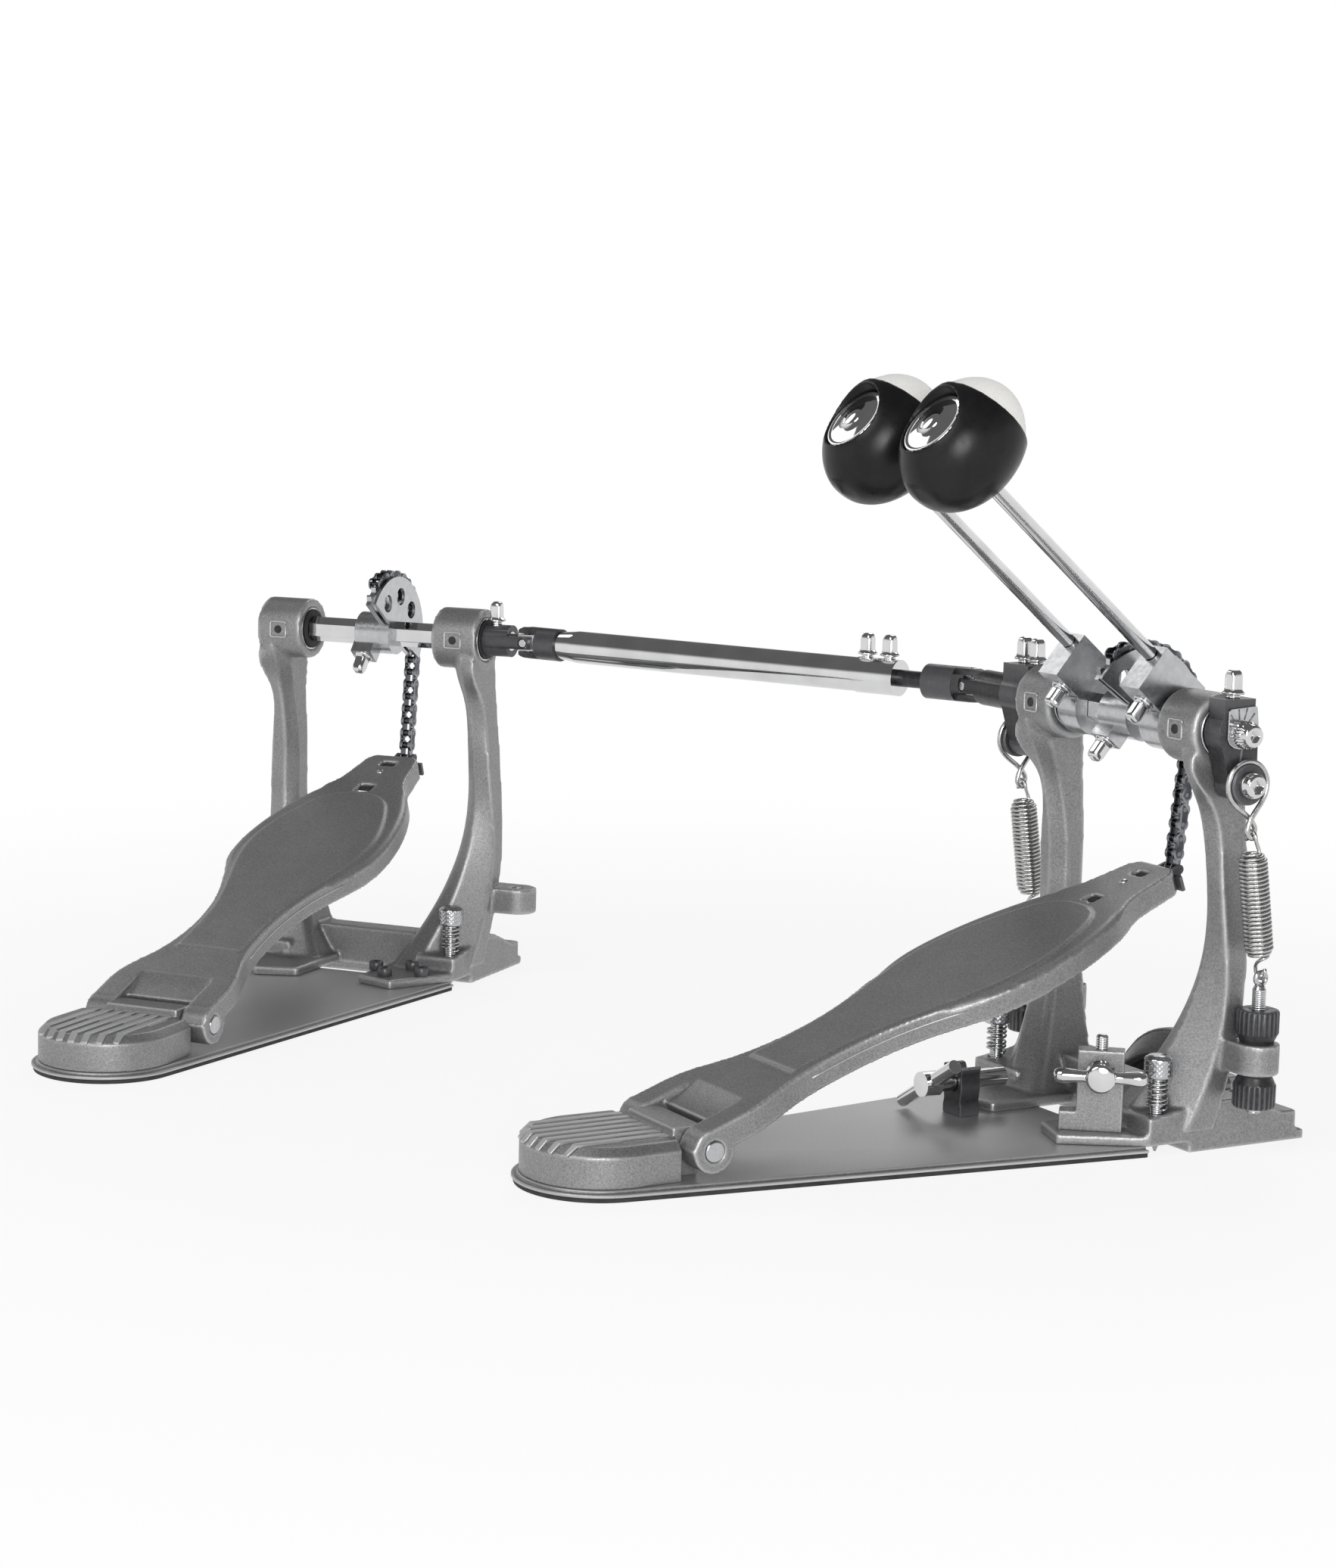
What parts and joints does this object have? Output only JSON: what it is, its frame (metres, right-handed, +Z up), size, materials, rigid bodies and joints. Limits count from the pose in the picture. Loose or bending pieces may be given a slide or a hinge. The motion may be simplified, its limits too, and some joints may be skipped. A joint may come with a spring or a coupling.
{
  "type": "double bass drum pedal",
  "caption": "Double bass drum pedal: chain-driven main pedal with twin beaters, a remote pedal and a telescoping universal-joint drive shaft.",
  "frame": {"origin": "on the floor under the middle of the main pedal's axle, on the underside of its sole plate", "axes": "+X to the player's right along the main axle, +Y from heel to drum, +Z up"},
  "size_m": [0.5855, 0.4474, 0.3158],
  "materials": {
    "cast_aluminium": "satin worn casting",
    "rubber_mat": "matte",
    "chrome": "polished",
    "black_metal": "satin black",
    "steel": "machined",
    "spring_wire": "zinc plated",
    "beater_shell": "gloss black",
    "felt": "pressed felt"
  },
  "bodies": {
    "main_base": {"main_base_plate": "cast_aluminium", "main_base_mat": "rubber_mat", "main_heel_plate": "cast_aluminium", "main_heel_pin": "steel", "main_frame": "cast_aluminium", "main_bearings": "steel", "main_spur_springs": "spring_wire", "spring_adjusters": "black_metal", "clamp_block": "cast_aluminium", "key_clip": "black_metal"},
    "main_board": {"main_footboard": "cast_aluminium", "main_chain_clamp": "black_metal"},
    "main_shaft": {"main_axle": "chrome", "main_sprocket": "steel", "main_chain_wrap": "steel", "main_axle_bolts": "chrome", "right_beater_hub": "chrome", "right_rocker": "black_metal"},
    "right_beater": {"right_beater_shaft": "chrome", "right_beater_head": "beater_shell", "right_beater_felt": "felt"},
    "main_chain": {"main_chain_run": "steel"},
    "right_link": {"right_spring_link": "spring_wire"},
    "right_return_spring": {"right_spring": "spring_wire"},
    "left_drive": {"left_rocker": "black_metal", "left_beater_hub": "chrome", "left_drive_bolts": "chrome"},
    "left_beater": {"left_beater_shaft": "chrome", "left_beater_head": "beater_shell", "left_beater_felt": "felt"},
    "left_link": {"left_spring_link": "spring_wire"},
    "left_return_spring": {"left_spring": "spring_wire"},
    "main_joint_cross": {"main_cross": "steel"},
    "inner_rod": {"drive_rod": "black_metal"},
    "outer_tube": {"drive_tube": "chrome", "tube_yoke": "black_metal", "tube_bolts": "chrome"},
    "slave_joint_cross": {"slave_cross": "steel"},
    "slave_base": {"slave_base_plate": "cast_aluminium", "slave_base_mat": "rubber_mat", "slave_heel_plate": "cast_aluminium", "slave_heel_pin": "steel", "slave_frame": "cast_aluminium", "slave_bearings": "steel", "slave_spur_springs": "spring_wire"},
    "slave_board": {"slave_footboard": "cast_aluminium", "slave_chain_clamp": "black_metal"},
    "slave_shaft": {"slave_axle": "chrome", "slave_sprocket": "steel", "slave_chain_wrap": "steel", "slave_axle_bolts": "chrome", "slave_yoke": "black_metal"},
    "slave_chain": {"slave_chain_run": "steel"},
    "main_left_screw_spur": {"main_left_spur": "steel"},
    "main_right_screw_spur": {"main_right_spur": "steel"},
    "slave_left_screw_spur": {"slave_left_spur": "steel"},
    "slave_right_screw_spur": {"slave_right_spur": "steel"},
    "clamp_jaw": {"hoop_clamp_jaw": "cast_aluminium"},
    "wing_screw": {"clamp_wing_bolt": "chrome"},
    "key": {"drum_key": "chrome"}
  },
  "joints": [
    {"name": "main_pedal", "type": "hinge", "parent": "main_base", "child": "main_shaft", "pos_m": [0, 0, 0.176], "axis": [-1, 0, 0], "range_deg": [-8, 52], "stiffness_Nm_per_rad": 2.5, "deforming": ["main_chain_wrap"]},
    {"name": "main_board_hinge", "type": "hinge", "parent": "main_base", "child": "main_board", "pos_m": [0, -0.2156, 0.0166], "axis": [-1, 0, 0], "range_deg": [-2.48, 7.88]},
    {"name": "main_chain_bend", "type": "hinge", "parent": "main_shaft", "child": "main_chain", "pos_m": [0.006, 0.0282, 0.1882], "axis": [-1, 0, 0], "range_deg": [-60.85, 10.63], "deforming": ["main_chain_run"]},
    {"name": "right_link_pivot", "type": "hinge", "parent": "main_shaft", "child": "right_link", "pos_m": [0.0743, 0.0035, 0.1555], "axis": [-1, 0, 0], "range_deg": [-64.39, 11.18]},
    {"name": "right_spring_stretch", "type": "slide", "parent": "right_link", "child": "right_return_spring", "axis": [0, 0.148, -0.989], "range_m": [-0.00222, 0.01003], "deforming": ["right_spring"]},
    {"name": "left_link_pivot", "type": "hinge", "parent": "left_drive", "child": "left_link", "pos_m": [-0.0833, 0.0035, 0.1555], "axis": [-1, 0, 0], "range_deg": [-62.36, 10.86]},
    {"name": "left_spring_stretch", "type": "slide", "parent": "left_link", "child": "left_return_spring", "axis": [0, 0.148, -0.989], "range_m": [-0.00213, 0.00946], "deforming": ["left_spring"]},
    {"name": "right_beater_height", "type": "slide", "parent": "main_shaft", "child": "right_beater", "axis": [0, -0.7694, 0.6388], "range_m": [-0.015, 0.03]},
    {"name": "left_beater_height", "type": "slide", "parent": "left_drive", "child": "left_beater", "axis": [0, -0.7694, 0.6388], "range_m": [-0.015, 0.03]},
    {"name": "left_drive_turn", "type": "hinge", "parent": "main_base", "child": "left_drive", "pos_m": [0, 0, 0.176], "axis": [-1, 0, 0], "range_deg": [-9.22, 51.68]},
    {"name": "main_cross_tilt", "type": "hinge", "parent": "left_drive", "child": "main_joint_cross", "pos_m": [-0.1125, 0, 0.176], "axis": [0, 1, 0], "range_deg": [-20.8, 4.47]},
    {"name": "rod_turn", "type": "hinge", "parent": "main_base", "child": "inner_rod", "pos_m": [-0.1125, 0, 0.176], "axis": [-0.9098, -0.415, 0], "range_deg": [-9.63, 54.32]},
    {"name": "shaft_length", "type": "slide", "parent": "main_base", "child": "slave_base", "axis": [-0.9098, -0.415, 0], "range_m": [-0.008, 0.1]},
    {"name": "tube_turn", "type": "hinge", "parent": "slave_base", "child": "outer_tube", "pos_m": [-0.34751, -0.10718, 0.176], "axis": [-0.9098, -0.415, 0], "range_deg": [-9.63, 54.32]},
    {"name": "slave_pedal", "type": "hinge", "parent": "slave_base", "child": "slave_shaft", "pos_m": [-0.41375, -0.15964, 0.176], "axis": [-0.7839, -0.6208, 0], "range_deg": [-8, 52], "stiffness_Nm_per_rad": 2.5, "deforming": ["slave_chain_wrap"]},
    {"name": "slave_cross_tilt", "type": "hinge", "parent": "slave_shaft", "child": "slave_joint_cross", "pos_m": [-0.34751, -0.10718, 0.176], "axis": [-0.6208, 0.7839, 0], "range_deg": [-3.19, 12.5]},
    {"name": "slave_board_hinge", "type": "hinge", "parent": "slave_base", "child": "slave_board", "pos_m": [-0.2799, -0.32866, 0.0166], "axis": [-0.7839, -0.6208, 0], "range_deg": [-2.48, 7.88]},
    {"name": "slave_chain_bend", "type": "hinge", "parent": "slave_shaft", "child": "slave_chain", "pos_m": [-0.42655, -0.13381, 0.1882], "axis": [-0.7839, -0.6208, 0], "range_deg": [-60.85, 10.63], "deforming": ["slave_chain_run"]},
    {"name": "main_left_spur_screw", "type": "slide", "parent": "main_base", "child": "main_left_screw_spur", "axis": [0, 0, 1], "range_m": [0, 0.012]},
    {"name": "main_right_spur_screw", "type": "slide", "parent": "main_base", "child": "main_right_screw_spur", "axis": [0, 0, 1], "range_m": [0, 0.012]},
    {"name": "slave_left_spur_screw", "type": "slide", "parent": "slave_base", "child": "slave_left_screw_spur", "axis": [0, 0, 1], "range_m": [0, 0.012]},
    {"name": "slave_right_spur_screw", "type": "slide", "parent": "slave_base", "child": "slave_right_screw_spur", "axis": [0, 0, 1], "range_m": [0, 0.012]},
    {"name": "wing_turn", "type": "hinge", "parent": "main_base", "child": "wing_screw", "pos_m": [0.04565, -0.04177, 0.034], "axis": [0.788, -0.6157, 0], "range_deg": [-270, 675]},
    {"name": "jaw_tip", "type": "hinge", "parent": "main_base", "child": "clamp_jaw", "pos_m": [0, 0.0355, 0.0125], "axis": [1, 0, 0], "range_deg": [-11, 26]},
    {"name": "key_pull", "type": "slide", "parent": "main_base", "child": "key", "axis": [0, -1, 0], "range_m": [0, 0.045]}
  ],
  "couplings": [
    {"joint": "main_board_hinge", "follows": "main_pedal", "ratio": 0.12276},
    {"joint": "main_chain_bend", "follows": "main_pedal", "ratio": -1.1414},
    {"joint": "right_link_pivot", "follows": "main_pedal", "ratio": -1.2094},
    {"joint": "right_spring_stretch", "follows": "main_pedal", "m_per_rad": 0.010173},
    {"joint": "left_link_pivot", "follows": "slave_pedal", "ratio": -1.1704},
    {"joint": "left_spring_stretch", "follows": "slave_pedal", "m_per_rad": 0.009538},
    {"joint": "left_drive_turn", "follows": "slave_pedal", "ratio": 0.96504},
    {"joint": "main_cross_tilt", "follows": "slave_pedal", "ratio": -0.37126},
    {"joint": "rod_turn", "follows": "slave_pedal", "ratio": 1.0157},
    {"joint": "tube_turn", "follows": "slave_pedal", "ratio": 1.0157},
    {"joint": "slave_cross_tilt", "follows": "slave_pedal", "ratio": 0.2116},
    {"joint": "slave_board_hinge", "follows": "slave_pedal", "ratio": 0.12276},
    {"joint": "slave_chain_bend", "follows": "slave_pedal", "ratio": -1.1414},
    {"joint": "jaw_tip", "follows": "wing_turn", "ratio": 0.037037}
  ]
}
